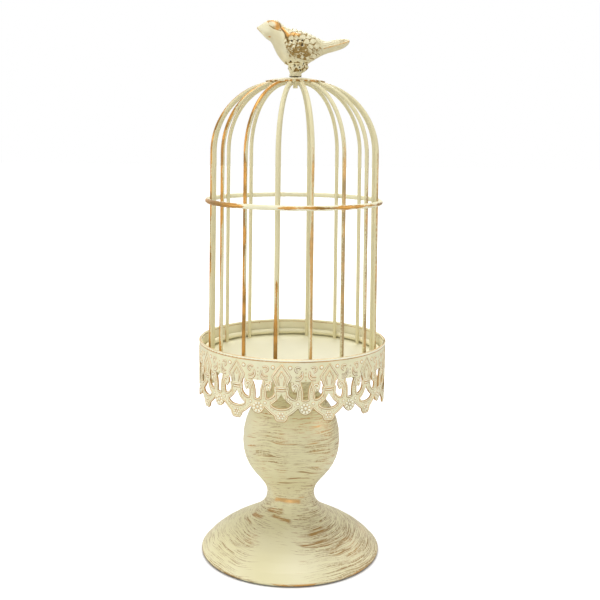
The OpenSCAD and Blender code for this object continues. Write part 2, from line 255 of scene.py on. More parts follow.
def round_axis(start):
    """A place, its height and distance from the stand's axis, and the way out as two numbers."""
    place = start.node("TexCoord", None, None, "Object")
    x, y, height = place.split()
    radius = (x * x + y * y).math("SQRT") + 1e-5
    return place, height, radius, x / radius, y / radius


def satin(shader, worn, gold, base, relief):
    """Satin paint in the colour base, with brown or gold glaze where worn is 1."""
    worn.tint(base, gold.tint(brown_glaze, gold_glaze)).into(shader, "Base Color")
    (0.42 - worn * 0.08).into(shader, "Roughness")
    (worn * gold * 0.35).into(shader, "Metallic")
    shader.inputs["Specular IOR Level"].default_value = satin_gloss
    relief.bump(shader, 0.35, 0.0002)


def coat(finish, *parts):
    """Puts a finish on those nodes."""
    for part in parts:
        nodes[part].data.materials.clear()
        nodes[part].data.materials.append(finish)


# Single bold marks: height in mm, from and to in degrees from the front, half width, share of gold
accents = (
    (38.0, -46, 30, 1.6, 1.0), (41.0, 14, 40, 0.5, 0.9), (31.0, -56, -10, 1.2, 0.2),
    (28.0, -40, 6, 0.9, 0.3), (26.5, -82, -46, 1.1, 0.3), (22.0, -84, -54, 0.9, 0.1),
    (21.8, 4, 46, 1.0, 0.15), (25.5, 16, 52, 0.7, 0.2), (16.0, 30, 62, 0.7, 0.1),
    (36.5, 150, 190, 1.0, 0.6), (26.0, 110, 150, 1.2, 0.1), (84.0, -30, 10, 0.4, 0.6),
    (96.0, 20, 46, 0.7, 0.7), (88.0, -48, -20, 0.5, 0.3), (84.5, 14, 40, 0.6, 0.9),
    (57.5, -10, 34, 0.6, 0.2), (62.0, 4, 52, 0.6, 0.1), (53.0, -26, 30, 0.5, 0.3),
)
accent_fade = 10
# How far strokes wander up and down in m, and their noise cells round the axis and in a metre down
stroke_sway = 0.022
hair_cells = (3.0, 1900)
stroke_cells = (1.9, 1000)
waist_h, low_bulb_h, upper_bulb_glaze_and_shade_h, bare_h, hem_h = 47, 66, 92, 10, 1.7

pedestal_paint, start, shader = new_finish("pedestal_paint")
place, height, radius, out_x, out_y = round_axis(start)
h = height / mm
on_foot = 1 - h.rise(36, 43)
on_bulb = 1 - on_foot
# Strokes are noise that changes slowly round the axis and fast down the surface, which on the
# nearly flat foot means outwards
cloud = place.noise(18, 2)
level = height + (cloud - 0.5) * stroke_sway
down = level - radius * on_foot


def brushed(cells, detail, rough):
    """Noise drawn out into strokes round the pedestal."""
    return (out_x * cells[0]).joined(out_y * cells[0], down * cells[1]).noise(1, detail, rough)


hair = brushed(hair_cells, 2, 0.5)
stroke = brushed(stroke_cells, 3, 0.6)
speck = place.noise(1700, 1)
# Where the brush came often, with painted shade high on the bulb and a painted highlight low on the front
# of the foot
waist = 1 - abs(h - waist_h).rise(3, 12)
low_bulb = 1 - abs(h - low_bulb_h).rise(8, 24)
# Denser strokes high on the bulb, under the skirt: partly real glaze, partly painted shade of the skirt
upper_bulb_glaze_and_shade = (1 - abs(h - upper_bulb_glaze_and_shade_h).rise(12, 34)) * out_x.rise(-0.95, -0.4)
right_side = out_x.rise(-0.1, 0.5)
left_side = (0 - out_x).rise(0.35, 0.8)
# Few strokes low on the front of the foot, where the highlight falls: a painted highlight
bare = (1 - abs(h - bare_h).rise(5, 13)) * (0 - out_y).rise(0.78, 0.96)
dense = ((place.noise(24, 2) - 0.5) * 2.2 + 0.42 + waist * 0.55 + low_bulb * 0.06 + upper_bulb_glaze_and_shade * 0.44
         + (1 - h.rise(1.2, 3.6)) + on_bulb * right_side * 0.12
         + on_foot * (right_side * 0.6 + left_side * 0.5 - bare * 0.6)
         - on_bulb * (0 - out_x).rise(0.55, 0.95) * 0.4)
limit = 0.655 - dense * 0.125
# The single marks
around = out_x.node("Math", {"operation": "ARCTAN2"}, {0: out_x, 1: 0 - out_y}) * (180 / math.pi)
marks = speck * 0
gilt = speck * 0
for mark_h, start_deg, end_deg, half_w, gilding in accents:
    away = abs((level / mm - mark_h) / half_w)
    shown = (around - start_deg).rise(0, accent_fade) * (end_deg - around).rise(0, accent_fade)
    shown = shown * (1.5 - away + (hair - 0.5) * 3).rise(0.3, 0.8)
    marks = marks.most(shown)
    gilt = gilt.most(shown * gilding)
hem_line = (1 - abs(h - hem_h).rise(0.35, 1.1)) * (place.noise(70, 2) + stroke * 0.8).rise(0.82, 0.94)
fine_strokes = (hair - limit + 0.03).rise(0.0, 0.09) * 0.62
bold_strokes = (stroke - limit - 0.02).rise(0.0, 0.05) * (hair.rise(0.36, 0.5) * 0.7 + 0.3)
ragged = place.noise(650, 1).rise(0.36, 0.5) * 0.55 + 0.45
worn = (fine_strokes.most(bold_strokes) * ragged) \
    .most(marks * stroke.rise(0.40, 0.50).most(gilt * 0.8), hem_line)
gold = (place.noise(34, 1) + hair * 0.3 - on_foot * (right_side * 0.07 + 0.1)).rise(0.6, 0.86) \
    .most(gilt, hem_line * (1 - abs(around - 20).rise(20, 44)))
base = cloud.rise(0.3, 0.7).tint(ivory, pale_ivory)
relief = hair * 0.5 + speck * 0.2 - worn * 0.3
satin(shader, worn * (on_foot * 0.08 + 0.82), gold, base, relief)
coat(pedestal_paint, "foot_shell", "bulb_shell")


# ---- Floor pad ---------------------------------------------------------------------------------
# A disc of black felt-faced foam, glued under the hem of the foot. Only its edge shows, as a dark
# line between the hem and the floor.
pad_felt, start, shader = new_finish("pad_felt")
nap = start.node("TexCoord", None, None, "Object").noise(2600, 3)
nap.tint(chart(24, 24, 22), chart(52, 50, 46)).into(shader, "Base Color")
shader.inputs["Roughness"].default_value = 0.95
nap.bump(shader, 0.8, 0.0002)
coat(pad_felt, "base_pad")


# ---- Tray --------------------------------------------------------------------------------------
# A shallow pressed steel pan in plain ivory. It stands on the bulb and is held by the tie rod, and
# the paint on its rolled rim is rubbed in a few places.
rim_from, rim_to = 147.0, 148.2

tray_paint, start, shader = new_finish("tray_paint")
place, height, radius, out_x, out_y = round_axis(start)
base = place.noise(20, 2).rise(0.3, 0.7).tint(chart(230, 224, 189), chart(236, 231, 201))
below_rim = 1 - (height / mm).rise(rim_from, rim_to)
worn = (place.noise(420, 3, 0.6) - below_rim * 0.4).rise(0.62, 0.68)
gold = place.noise(60, 1).rise(0.4, 0.6)
satin(shader, worn, gold, base, place.noise(1800, 2) * 0.3)
coat(tray_paint, "tray_pan")


# ---- Tie rod, washer and nut -------------------------------------------------------------------
# Zinc-plated steel inside the pedestal, under the tray. The rod pulls tray, bulb and foot together.
zinc, start, shader = new_finish("zinc_plate")
grain = start.node("TexCoord", None, None, "Object").noise(900, 2)
grain.tint(chart(176, 176, 172), chart(206, 206, 202)).into(shader, "Base Color")
(0.25 + grain * 0.25).into(shader, "Roughness")
shader.inputs["Metallic"].default_value = 1.0
coat(zinc, "tie_rod", "tie_washer", "tie_nut")


# ---- Pierced skirt -----------------------------------------------------------------------------
# Stamped and pierced sheet steel, rolled into a band round the tray. Ivory paint, with brown glaze
# left in the cuts and gold rubbed on their edges.
tray_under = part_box("tray_pan")[0].z / mm
band_r = max(math.hypot(v.co.x, v.co.y) for v in nodes["skirt_band"].data.vertices
             if v.co.z / mm < tray_under) / mm
bead_foot_h = tray_under + 10.05

skirt_paint, start, shader = new_finish("skirt_paint")
place, height, radius, out_x, out_y = round_axis(start)
face_x, face_y, face_z = start.node("NewGeometry", None, None, "True Normal").split()
cut_edge = 1 - abs(face_x * out_x + face_y * out_y).rise(0.25, 0.8)
speck = place.noise(900, 3, 0.6)
proud = radius / mm - band_r
crest_highlight = proud.rise(0.2, 0.27)
# Brown glaze on the flat apron round each ridge and boss, which on a ridge's lower side is also painted
# shade
line = proud.rise(0.01, 0.025) * (1 - proud.rise(0.07, 0.12))
bead_foot = 1 - abs((height / mm - bead_foot_h) / 0.55).rise(0.3, 1.0)
worn = (cut_edge * 0.42 + crest_highlight * 0.1 + line * 0.74 + bead_foot * 0.5 + speck * 0.5
        + place.noise(70, 2) * 0.45).rise(0.72, 0.92)
gold = place.noise(90, 1).rise(0.25, 0.5)
flat_tone = place.noise(160, 2).rise(0.3, 0.7).tint(chart(236, 230, 190), chart(242, 237, 202))
# The paler ivory on the crests of the relief is painted highlight
base = crest_highlight.tint(flat_tone, chart(253, 250, 226))
satin(shader, worn * 0.85, gold, base, speck * 0.5 + place.noise(2200, 1) * 0.3)
coat(skirt_paint, "skirt_band")


# ---- Stamped ornament --------------------------------------------------------------------------
# The press also raises a thin ornament on the band: a border along every opening, a spade leaf
# with two scrolls and rings in each repeat, collars, rosettes and a flower on every drop.
repeats = 13
pattern_turn = math.radians(-5.5)
band_length = 2 * math.pi * band_r
sunk = -0.15
# Height of the flat apron round every ridge and boss, painted with glaze and, below the ridges, painted
# shade
glaze_and_shade_line = 0.04
# Width of the apron beside a ridge, and how far it is widened below and narrowed above as painted shade
line_w, shade_shift = 0.3, 0.13
ornament = {"points": [], "faces": []}


def on_band(u, z, rise, turn):
    """The place of a flat point, u along the band and z up, that far proud of it."""
    angle = turn + u / band_r
    out = band_r + rise
    return (out * math.sin(angle) * mm, -out * math.cos(angle) * mm, z * mm)


def ridge(path, half_w, rise, turn, closed=False):
    """A half-round ridge along a flat path, with its foot sunk in the sheet."""
    first = len(ornament["points"])
    count = len(path)
    for k, (u, z) in enumerate(path):
        if closed:
            back, ahead = path[k - 1], path[(k + 1) % count]
        else:
            back, ahead = path[max(k - 1, 0)], path[min(k + 1, count - 1)]
        du, dz = ahead[0] - back[0], ahead[1] - back[1]
        length = math.hypot(du, dz) or 1.0
        side_u, side_z = -dz / length, du / length
        thin = 0.55 if not closed and k in (0, count - 1) else 1.0
        # The apron is wider on the ridge's lower side than on its upper side: painted shade
        under = 1 + (line_w - side_z * shade_shift) / half_w
        over = 1 + (line_w + side_z * shade_shift) / half_w
        section = ((-over - 0.1, sunk), (-over, glaze_and_shade_line), (-1.0, glaze_and_shade_line), (-0.75, 0.7 * rise),
                   (0.0, rise), (0.75, 0.7 * rise), (1.0, glaze_and_shade_line), (under, glaze_and_shade_line),
                   (under + 0.1, sunk))
        for across, up in section:
            offset = across * half_w * thin
            ornament["points"].append(on_band(u + side_u * offset, z + side_z * offset,
                                              up * thin if up > glaze_and_shade_line else up, turn))
    ring = len(section)
    for k in range(count if closed else count - 1):
        here, there = first + k * ring, first + (k + 1) % count * ring
        for j in range(ring):
            ahead_j = (j + 1) % ring
            ornament["faces"].append((here + j, here + ahead_j, there + ahead_j, there + j))
    if not closed:
        last = first + (count - 1) * ring
        ornament["faces"].append(tuple(first + j for j in reversed(range(ring))))
        ornament["faces"].append(tuple(last + j for j in range(ring)))


def boss(u, z, half_w, half_h, rise, turn, lean=0.0, around=10, line=0.32):
    """A low dome, round or oval, with its foot sunk in the sheet."""
    first = len(ornament["points"])
    line_w = 1 + line / half_w
    levels = ((line_w + 0.05, sunk), (line_w, glaze_and_shade_line), (1.0, glaze_and_shade_line), (0.92, 0.5 * rise),
              (0.6, 0.88 * rise))
    for share, up in levels:
        for k in range(around):
            w = 2 * math.pi * k / around
            a, b = half_w * share * math.cos(w), half_h * share * math.sin(w)
            ornament["points"].append(on_band(u + a * math.cos(lean) - b * math.sin(lean),
                                              z + a * math.sin(lean) + b * math.cos(lean), up, turn))
    ornament["points"].append(on_band(u, z, rise, turn))
    top = len(ornament["points"]) - 1
    for level in range(len(levels) - 1):
        for k in range(around):
            a, b = first + level * around + k, first + level * around + (k + 1) % around
            ornament["faces"].append((a, b, b + around, a + around))
    for k in range(around):
        last = first + (len(levels) - 1) * around
        ornament["faces"].append((last + k, last + (k + 1) % around, top))
    ornament["faces"].append(tuple(first + k for k in reversed(range(around))))


def bow(centre, radius, start_deg, end_deg, count):
    """Points along an arc, from one angle to another."""
    made = []
    for k in range(count):
        w = math.radians(start_deg + (end_deg - start_deg) * k / (count - 1))
        made.append((centre[0] + radius * math.cos(w), centre[1] + radius * math.sin(w)))
    return made


def softened(points):
    """The same open path with its corners cut twice."""
    for _ in range(2):
        made = [points[0]]
        for a, b in zip(points, points[1:]):
            made.append((a[0] * 0.75 + b[0] * 0.25, a[1] * 0.75 + b[1] * 0.25))
            made.append((a[0] * 0.25 + b[0] * 0.75, a[1] * 0.25 + b[1] * 0.75))
        points = made + [points[-1]]
    return points


def opening_edges():
    """Closed flat paths along the edge of every opening in the band, metal on their left."""
    mesh = nodes["skirt_band"].data
    flat = []
    for vertex in mesh.vertices:
        x, y, z = (c / mm for c in vertex.co)
        flat.append((round(math.atan2(x, -y) * band_r, 2), round(z, 2), math.hypot(x, y)))
    sides = {}
    for face in mesh.polygons:
        ring = [flat[k] for k in face.vertices]
        if all(abs(p[2] - band_r) < 0.02 and p[1] < tray_under + 9.5 for p in ring):
            for k, p in enumerate(ring):
                sides[(p[:2], ring[(k + 1) % len(ring)][:2])] = True

    def key(p):
        return (round(p[0] % band_length, 1), round(p[1], 1))

    seam = {(key(p), key(q)): True for p, q in sides}
    ahead = {a: b for a, b in seam if (b, a) not in seam}
    loops = []
    while ahead:
        start = next(iter(ahead))
        loop, here = [], start
        while here in ahead:
            loop.append(here)
            here = ahead.pop(here)
        if here == start and len(loop) > 6:
            loops.append(loop)
    return loops


def beside(u, near):
    """The same place on the band, unrolled by whole turns until it is next to another."""
    while u - near > band_length / 2:
        u -= band_length
    while u - near < -band_length / 2:
        u += band_length
    return u


def border(loop, inset, spacing):
    """The loop moved into the metal, with its points spread evenly and unrolled."""
    path = [loop[0]]
    for u, z in loop[1:]:
        path.append((beside(u, path[-1][0]), z))
    evened = [path[0]]
    for k, a in enumerate(path):
        b = path[(k + 1) % len(path)]
        du, dz = beside(b[0], a[0]) - a[0], b[1] - a[1]
        steps = max(1, round(math.hypot(du, dz) / spacing))
        for j in range(1, steps + 1):
            evened.append((a[0] + du * j / steps, a[1] + dz * j / steps))
    evened.pop()
    made = []
    for k, (u, z) in enumerate(evened):
        back, on = evened[k - 1], evened[(k + 1) % len(evened)]
        du = (on[0] - back[0] + band_length / 2) % band_length - band_length / 2
        dz = on[1] - back[1]
        length = math.hypot(du, dz) or 1.0
        made.append((u - dz / length * inset, z + du / length * inset))
    return made


def new_piece(name, points, faces, finish):
    """A smooth object made of those points and faces."""
    mesh = bpy.data.meshes.new(name)
    mesh.from_pydata(points, [], faces)
    mesh.validate()
    for polygon in mesh.polygons:
        polygon.use_smooth = True
    mesh.materials.append(finish)
    made = bpy.data.objects.new(name, mesh)
    scene.collection.objects.link(made)
    return made


def flower(z, petals, first, reach, half_w, half_h, rise, turn):
    """A ring of oval petals round a point on the middle line."""
    for petal in range(petals):
        w = 2 * math.pi * (petal + first) / petals
        boss(reach * math.cos(w), z + reach * math.sin(w), half_w, half_h, rise, turn,
             lean=w, around=8, line=0.14)


edge_inset, edge_spacing, edge_ridge = 0.55, 0.7, (0.33, 0.24)
for loop in opening_edges():
    if max(z for u, z in loop) < tray_under + 5:
        ridge(border(loop, edge_inset, edge_spacing), *edge_ridge, 0.0, closed=True)

# Half of a repeat: u is counted from its middle and z from the underside of the tray
leaf = [(0, 8.7), (2.0, 6.0), (3.9, 3.3), (5.85, 0.5), (5.0, -0.9), (4.1, -2.6), (3.6, -4.2), (3.5, -5.3)]
leaf_dots = [(0, 6.6), (2.1, 3.8), (4.25, 0.6), (3.4, -1.4), (2.7, -3.2), (2.4, -4.9)]
lozenge = [(0, 4.6), (1.3, 2.5), (2.6, 0.3), (1.9, -2.2), (1.3, -4.9)]
hook_top = [(12.1, 6.2), (10.8, 6.9), (9.1, 7.0), (8.2, 5.6), (8.9, 4.1), (10.2, 3.6)]
crescent = [(8.6, 1.0), (10.2, 0.6), (11.6, 1.5), (12.4, 3.1)]
scroll_low = [(12.5, 4.4), (13.2, 2.1), (12.5, 0.0), (11.1, -1.2), (8.6, -1.2)]
hook_head = bow((8.6, -5.4), 1.5, -20, 200, 10)
# Path, half width and rise of each ridge
side_ridges = (
    (leaf, 0.34, 0.28), (lozenge, 0.28, 0.25), (softened(hook_top), 0.30, 0.27),
    (softened(crescent), 0.26, 0.26), (softened(scroll_low), 0.32, 0.28), (hook_head, 0.42, 0.28),
)
# Place, half width and half height, rise, and width of the glaze round it of each boss: the top
# hook's end, the ring by the leaf, the bead in the curl of the hook's head, and the hook's foot
side_bosses = (
    (10.3, 5.3, 0.75, 0.5, 0.26, 0.12), (5.3, 6.5, 1.05, 1.05, 0.29, 0.34),
    (7.9, -6.3, 0.85, 0.85, 0.28, 0.16), (10.2, -16.2, 1.0, 0.9, 0.28, 0.2),
)
# First place and step of each straight row of dots, how many, their radius and rise
dot_rows = (
    (2.0, -11.0, 1.55, -1.5, 4, 0.25, 0.16),
    (3.2, -21.9, 1.7, 1.3, 4, 0.3, 0.18),
)
leaf_dot_count, hook_dot_count, rosette_dot_count = 12, 6, 4
flower_z, rosette_z = tray_under - 24.0, tray_under - 19.1


def leaf_place(k, count):
    """One of so many places spread along the row of dots in the leaf."""
    along = k / (count - 1) * (len(leaf_dots) - 1.001)
    a, b = leaf_dots[int(along)], leaf_dots[int(along) + 1]
    part = along - int(along)
    return a[0] + (b[0] - a[0]) * part, a[1] + (b[1] - a[1]) * part


for copy in range(repeats):
    turn = pattern_turn + copy * 2 * math.pi / repeats
    for side in (-1, 1):
        for path, half_w, rise in side_ridges:
            ridge([(side * u, tray_under + z) for u, z in path], half_w, rise, turn)
        for k in range(leaf_dot_count):
            u, z = leaf_place(k, leaf_dot_count)
            boss(side * u, tray_under + z, 0.18, 0.18, 0.2, turn, around=6, line=0.06)
        for u, z, half_w, half_h, rise, line in side_bosses:
            boss(side * u, tray_under + z, half_w, half_h, rise, turn, line=line)
        # The wavy row of dots down the shank of the hook
        for k in range(hook_dot_count):
            boss(side * (11.3 + 0.25 * math.sin(k)), tray_under - 6.2 - 1.45 * k, 0.28, 0.28, 0.18, turn,
                 around=6, line=0.1)
        for u, z, du, dz, count, size, rise in dot_rows:
            for k in range(count):
                boss(side * (u + du * k), tray_under + z + dz * k, size, size, rise, turn,
                     around=6, line=0.1)
    # The bead inside the lozenge
    boss(0, tray_under + 0.5, 0.4, 0.4, 0.24, turn, line=0.2)
    # The two bars of the collar under the leaf
    for z in (tray_under - 6.3, tray_under - 7.8):
        ridge([(-3.5, z), (-1.1, z - 0.12), (1.1, z - 0.12), (3.5, z)], 0.42, 0.29, turn)
    # The flower on the drop
    flower(flower_z, 6, 0, 1.75, 0.95, 0.8, 0.29, turn)
    boss(0, flower_z - 0.1, 0.65, 0.65, 0.28, turn)
    # The rosette between two repeats, and the dots above it
    between = turn + math.pi / repeats
    flower(rosette_z, 8, 0.5, 2.5, 1.1, 0.9, 0.3, between)
    boss(0, rosette_z, 1.05, 1.05, 0.3, between, line=0.2)
    for k in range(rosette_dot_count):
        boss(0, tray_under + 5.6 - 2.3 * k, 0.3, 0.3, 0.2, between, around=6, line=0.2)

skirt_ornament = new_piece("skirt_ornament", ornament["points"], ornament["faces"], skirt_paint)
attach(skirt_ornament, "stand")


# ---- Cage wires --------------------------------------------------------------------------------
# Sixteen drawn steel wires, bent over a former and welded to the hoops. The glaze was brushed on
# from outside, so the outer side of each wire carries the brown and gold streaks.
wires = [part for part in nodes if part.startswith("cage_wire")]
dome_from, dome_to = 262, 292
gold_ends_from, gold_ends_to = 199, 208

wire_paint, start, shader = new_finish("wire_paint")
place, height, radius, out_x, out_y = round_axis(start)
face_x, face_y, face_z = start.node("NewGeometry", None, None, "Normal").split()
outward = face_x * out_x + face_y * out_y
sideways = face_y * out_x - face_x * out_y
turned_out = outward + face_z.most(0) * 0.7
which = out_x * 9 + out_y * 5
on_dome = (height / mm).rise(dome_from, dome_to)
right_wires = out_x.rise(0.05, 0.45)
# The one wire left of the front that is gold in its lower half and bare above
near_left = (1 - abs(out_x + 0.18).rise(0.06, 0.1)) * (0 - out_y).rise(0, 0.2)
fringe = which.joined(sideways * 4, height * 900).noise(1, 3, 0.8)
upper_half = (height / mm + fringe * 9).rise(gold_ends_from, gold_ends_to)
drift = ((which.joined(height * 14, 0).noise(1, 2) - 0.5) * 1.9 + near_left * 0.3
         - (0 - out_x).rise(0.4, 0.6) * 0.25)
width = ((which.joined(height * 26, 7).noise(1, 2) - 0.44) * 3.0 + (0 - out_x).rise(-0.1, 0.7) * 0.65
         - out_x.rise(-0.2, 0.3) * on_dome * 0.9 + near_left * (0.3 - upper_half * 1.7))
streak = (width + fringe * (right_wires * 2.4 + 1.3) - abs(sideways - drift)
          - right_wires * 0.95 - 0.3).rise(0, 0.16)
worn = streak * turned_out.rise(0.05, 0.35) * (1 - out_x.rise(0.0, 0.3) * 0.25)
gold = (place.noise(70, 2) + fringe * 0.3 - right_wires * 0.08).rise(0.48, 0.72)
base = (sideways * 2).joined(height * 60, which).noise(1, 2).tint(chart(219, 209, 164),
                                                                  chart(230, 222, 184))
satin(shader, worn, gold, base, fringe * 0.6)
coat(wire_paint, *wires)


# ---- Hoops -------------------------------------------------------------------------------------
# Two rings of the same wire, butt welded and then fixed to the outer side of the cage's wires. The
# middle one is rubbed hard with glaze, the bottom one is nearly clean.
def hoop_finish(name, wear):
    """Ivory paint with a streak of glaze round the outside, wider where wear is more."""
    made, start, shader = new_finish(name)
    place, height, radius, out_x, out_y = round_axis(start)
    face_x, face_y, face_z = start.node("NewGeometry", None, None, "Normal").split()
    outward = face_x * out_x + face_y * out_y
    drift = ((out_x * 2.2).joined(out_y * 2.2, wear).noise(1, 2) - 0.5) * 1.6
    clean = 1 - abs(out_x + 0.33).rise(0.1, 0.24)
    width = (((out_x * 3.1).joined(out_y * 3.1, 5).noise(1, 2) - 0.56) * 2.8 + wear
             + (0 - out_x).rise(0.35, 0.75) * 0.7 - clean * 0.8)
    fringe = (out_x * 34).joined(out_y * 34, face_z * 4).noise(1, 3, 0.8)
    streak = (width + fringe * 1.4 - 0.35 - abs(face_z - drift)).rise(0, 0.14)
    gold = (place.noise(60, 2) + fringe * 0.3).rise(0.5, 0.8)
    base = place.noise(60, 1).tint(chart(238, 231, 192), chart(244, 239, 208))
    satin(shader, streak * outward.rise(0.0, 0.3), gold, base, fringe * 0.6)
    return made


hoop_paints = {}
for part, wear in (("middle_hoop", 0.3), ("bottom_hoop", -1.2)):
    hoop_paints[part] = hoop_finish(part + "_paint", wear)
    coat(hoop_paints[part], part)


# ---- Middle ring -------------------------------------------------------------------------------
# The paint lies thick on the middle hoop, as a lumpy coat over its wire, and thinner on the
# uprights. This ring is that hoop with its coat on.
coat_thick = 0.36
lump_depth = 0.16
lump_scale = 24
ring_steps, ring_sides = 480, 14


def hoop_sizes(part):
    """Radius of a hoop's middle line, half the thickness of its wire, and its height, in mm."""
    low_corner, high_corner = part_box(part)
    half_wire = (high_corner.z - low_corner.z) / 2 / mm
    return high_corner.x / mm - half_wire, half_wire, (high_corner.z + low_corner.z) / 2 / mm


ring_r, half_wire, ring_z = hoop_sizes("middle_hoop")
points, faces = [], []
for k in range(ring_steps):
    angle = 2 * math.pi * k / ring_steps
    for j in range(ring_sides):
        w = 2 * math.pi * j / ring_sides
        lump = noise.noise(Vector((math.cos(angle) * lump_scale, math.sin(angle) * lump_scale,
                                   math.cos(w) * 1.5 + 4 * math.sin(w))))
        thick = half_wire + coat_thick + lump_depth * lump
        out = ring_r + thick * math.cos(w)
        points.append((out * math.cos(angle) * mm, out * math.sin(angle) * mm,
                       (ring_z + thick * math.sin(w)) * mm))
        here, there = k * ring_sides, (k + 1) % ring_steps * ring_sides
        next_j = (j + 1) % ring_sides
        faces.append((here + j, there + j, there + next_j, here + next_j))
middle_ring = new_piece("middle_ring", points, faces, hoop_paints["middle_hoop"])
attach(middle_ring, "cage")
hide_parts("middle_hoop")


# ---- Welds -------------------------------------------------------------------------------------
# A small bead of weld, painted over, where each wire meets the middle hoop and the bottom hoop. It
# has run a little way along both.
cage_turn = math.radians(0.8 - 90)
# Half sizes of a bead: out from the axis, round it, and up
bead_out, bead_round, bead_up = 0.75, 1.7, 1.35
bead_spread = 0.2
bead_rows, bead_columns = 7, 12

points, faces = [], []
for hoop in ("middle_hoop", "bottom_hoop"):
    hoop_r, half_wire, touch_z = hoop_sizes(hoop)
    touch_r = hoop_r - half_wire
    for i in range(len(wires)):
        angle = cage_turn + (i + 0.5) * 2 * math.pi / len(wires)
        size = 1 + bead_spread * noise.noise(Vector((i * 3.1, touch_z, 0.5)))
        first = len(points)
        for r in range(bead_rows + 1):
            tilt = math.pi * (r / bead_rows - 0.5)
            for c in range(bead_columns):
                w = 2 * math.pi * c / bead_columns
                out = touch_r + bead_out * size * math.cos(tilt) * math.cos(w)
                aside = bead_round * size * math.cos(tilt) * math.sin(w)
                points.append(((out * math.cos(angle) - aside * math.sin(angle)) * mm,
                               (out * math.sin(angle) + aside * math.cos(angle)) * mm,
                               (touch_z + bead_up * size * math.sin(tilt)) * mm))
        for r in range(bead_rows):
            for c in range(bead_columns):
                a = first + r * bead_columns + c
                b = first + r * bead_columns + (c + 1) % bead_columns
                faces.append((a, b, b + bead_columns, a + bead_columns))
cage_welds = new_piece("cage_welds", points, faces, hoop_paints["bottom_hoop"])
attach(cage_welds, "cage")


# ---- Crown disc --------------------------------------------------------------------------------
# A slightly dished washer of sheet steel that the wires' upper ends are welded under. Ivory paint,
# rubbed a little more towards the rim.
crown_paint, start, shader = new_finish("crown_paint")
place, height, radius, out_x, out_y = round_axis(start)
rim = (radius / mm).rise(14, 18.6)
rub = place.noise(330, 3, 0.6)
worn = (rub + rim * 0.18).rise(0.62, 0.7)
gold = place.noise(110, 1).rise(0.42, 0.6)
base = place.noise(90, 1).tint(chart(222, 211, 168), chart(230, 222, 186))
satin(shader, worn, gold, base, rub * 0.4)
coat(crown_paint, "crown_disc")


# ---- Finial stud, washer and nut ---------------------------------------------------------------
# The bird's threaded stud comes down through the crown disc and is held by a washer and a hexagon
# nut. They carry the same sprayed ivory as the disc.
coat(crown_paint, "finial_stud", "finial_washer", "finial_nut")


# ---- Bird --------------------------------------------------------------------------------------
# A zinc casting of a small songbird on a leafy stump and a turned collar. Its feathers, creases
# and pits come from the mould. Ivory paint, gold rubbed on what stands proud, brown left deep.
# Lengths are in mm. x runs along the bird from beak to tail, with 0 over the stud, and z up from the
# foot of the collar.
bird_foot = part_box("bird_finial")[0].z / mm
# Place along the bird, height of its back and of its belly there, and its half width
bird_stations = (
    (-24.9, 30.4, 29.6, 0.5), (-22.0, 32.2, 26.6, 2.5), (-19.0, 34.2, 23.6, 4.9),
    (-15.5, 35.5, 21.0, 6.8), (-12.0, 35.0, 14.2, 8.0), (-8.0, 31.9, 9.2, 9.1),
    (-3.0, 30.0, 6.6, 10.0), (3.0, 28.8, 6.2, 10.2), (9.0, 26.5, 9.0, 8.7),
    (14.5, 23.9, 12.3, 6.2), (19.5, 22.6, 14.6, 4.6), (25.0, 23.7, 16.2, 4.3),
    (30.0, 24.2, 18.0, 4.6), (33.2, 23.8, 20.4, 3.9), (34.1, 22.9, 22.0, 2.6),
)
egg_share = 0.14
# Height, place along the bird, and half width along and across of the stump's rings
stump_rings = ((2.2, 0.0, 3.7, 3.7), (3.2, 0.5, 4.6, 4.2), (4.4, 1.0, 5.6, 4.8), (5.8, 1.4, 6.2, 5.1),
               (7.6, 1.5, 6.3, 5.1), (9.2, 1.2, 5.6, 4.6), (10.6, 0.8, 4.4, 3.8))
# Height and radius of the collar's rings
collar_rings = ((0.02, 3.7), (0.12, 4.0), (1.0, 4.1), (1.3, 3.8), (2.9, 3.75), (3.3, 3.6))
skin_cell = 0.25
# Middle, half length and half height, and slope of the wing, and the length and width of a feather
wing_middle = (4.6, 18.4)
wing_half = (12.4, 7.8)
wing_fall = math.radians(20)
feather_size = (3.3, 3.1)


def smooth_rows(table, per_gap):
    """Rows between those of a table, on a smooth curve through them."""
    rows = np.array(table, dtype=float)
    steps = np.arange((len(rows) - 1) * per_gap + 1) / per_gap
    low = np.minimum(steps.astype(int), len(rows) - 2)
    t = (steps - low)[:, None]
    a, b = rows[np.maximum(low - 1, 0)], rows[low]
    c, d = rows[low + 1], rows[np.minimum(low + 2, len(rows) - 1)]
    return b + 0.5 * t * (c - a + t * (2 * a - 5 * b + 4 * c - d + t * (3 * (b - c) + d - a)))


def add_skin(points, faces, rings):
    """Adds a closed skin through a stack of rings, given as an array of ring, place, xyz."""
    first = len(points)
    count, around = rings.shape[:2]
    points.extend(map(tuple, rings.reshape(-1, 3)))
    for r in range(count - 1):
        for s in range(around):
            a, b = first + r * around + s, first + r * around + (s + 1) % around
            faces.append((a, b, b + around, a + around))
    faces.append(tuple(first + s for s in reversed(range(around))))
    faces.append(tuple(first + (count - 1) * around + s for s in range(around)))


